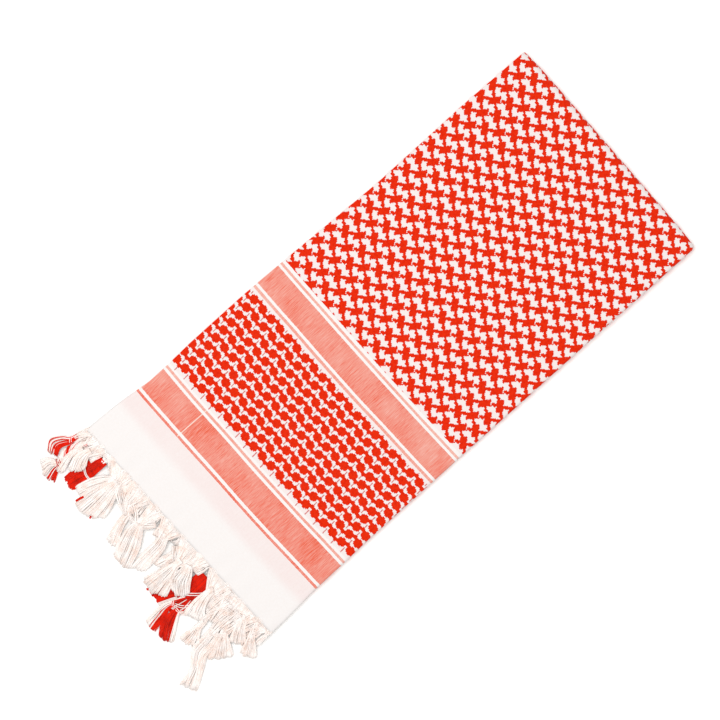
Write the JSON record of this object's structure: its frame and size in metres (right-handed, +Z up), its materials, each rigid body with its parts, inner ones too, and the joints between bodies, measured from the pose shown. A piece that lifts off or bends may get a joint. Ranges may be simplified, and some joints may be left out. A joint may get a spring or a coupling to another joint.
{
  "type": "keffiyeh headscarf",
  "caption": "Square woven cotton headscarf, checked with stitched-look floats between chambray bands, folded flat into a long packet with its knotted fringe at one end.",
  "frame": {"origin": "middle of the folded scarf's reach, on the surface it lies on", "axes": "+X along the packet from the fringe to the fold end, +Y across it, +Z up from the surface"},
  "size_m": [0.6576, 0.2898, 0.0131],
  "materials": {
    "checked_cotton": "white cotton with red floats in a hooked check, matt, slightly fuzzy",
    "inner_cotton": "the same check seen edge on between the layers, matt",
    "white_yarn": "undyed soft-spun cotton warp ends, matt",
    "red_yarn": "red-dyed soft-spun cotton yarn, matt",
    "red_white_yarn": "red and undyed soft-spun cotton yarns together, matt"
  },
  "bodies": {
    "root": {"face_stretch": "checked_cotton", "end_fold": "checked_cotton", "under_stretch": "checked_cotton", "hidden_layers": "inner_cotton", "under_fringe": "white_yarn", "edge_net": "white_yarn", "tassel_01": "red_white_yarn", "tassel_02": "red_white_yarn", "tassel_03": "white_yarn", "tassel_04": "red_yarn", "tassel_05": "white_yarn", "tassel_06": "white_yarn", "tassel_07": "white_yarn", "tassel_08": "white_yarn", "tassel_09": "white_yarn", "tassel_10": "white_yarn", "tassel_11": "white_yarn", "tassel_12": "white_yarn", "tassel_13": "red_yarn", "tassel_14": "red_white_yarn", "tassel_15": "red_white_yarn", "tassel_16": "white_yarn", "tassel_17": "white_yarn", "tassel_18": "white_yarn", "tassel_19": "white_yarn", "tassel_20": "white_yarn", "tassel_21": "white_yarn", "tassel_22": "white_yarn"}
  },
  "joints": []
}
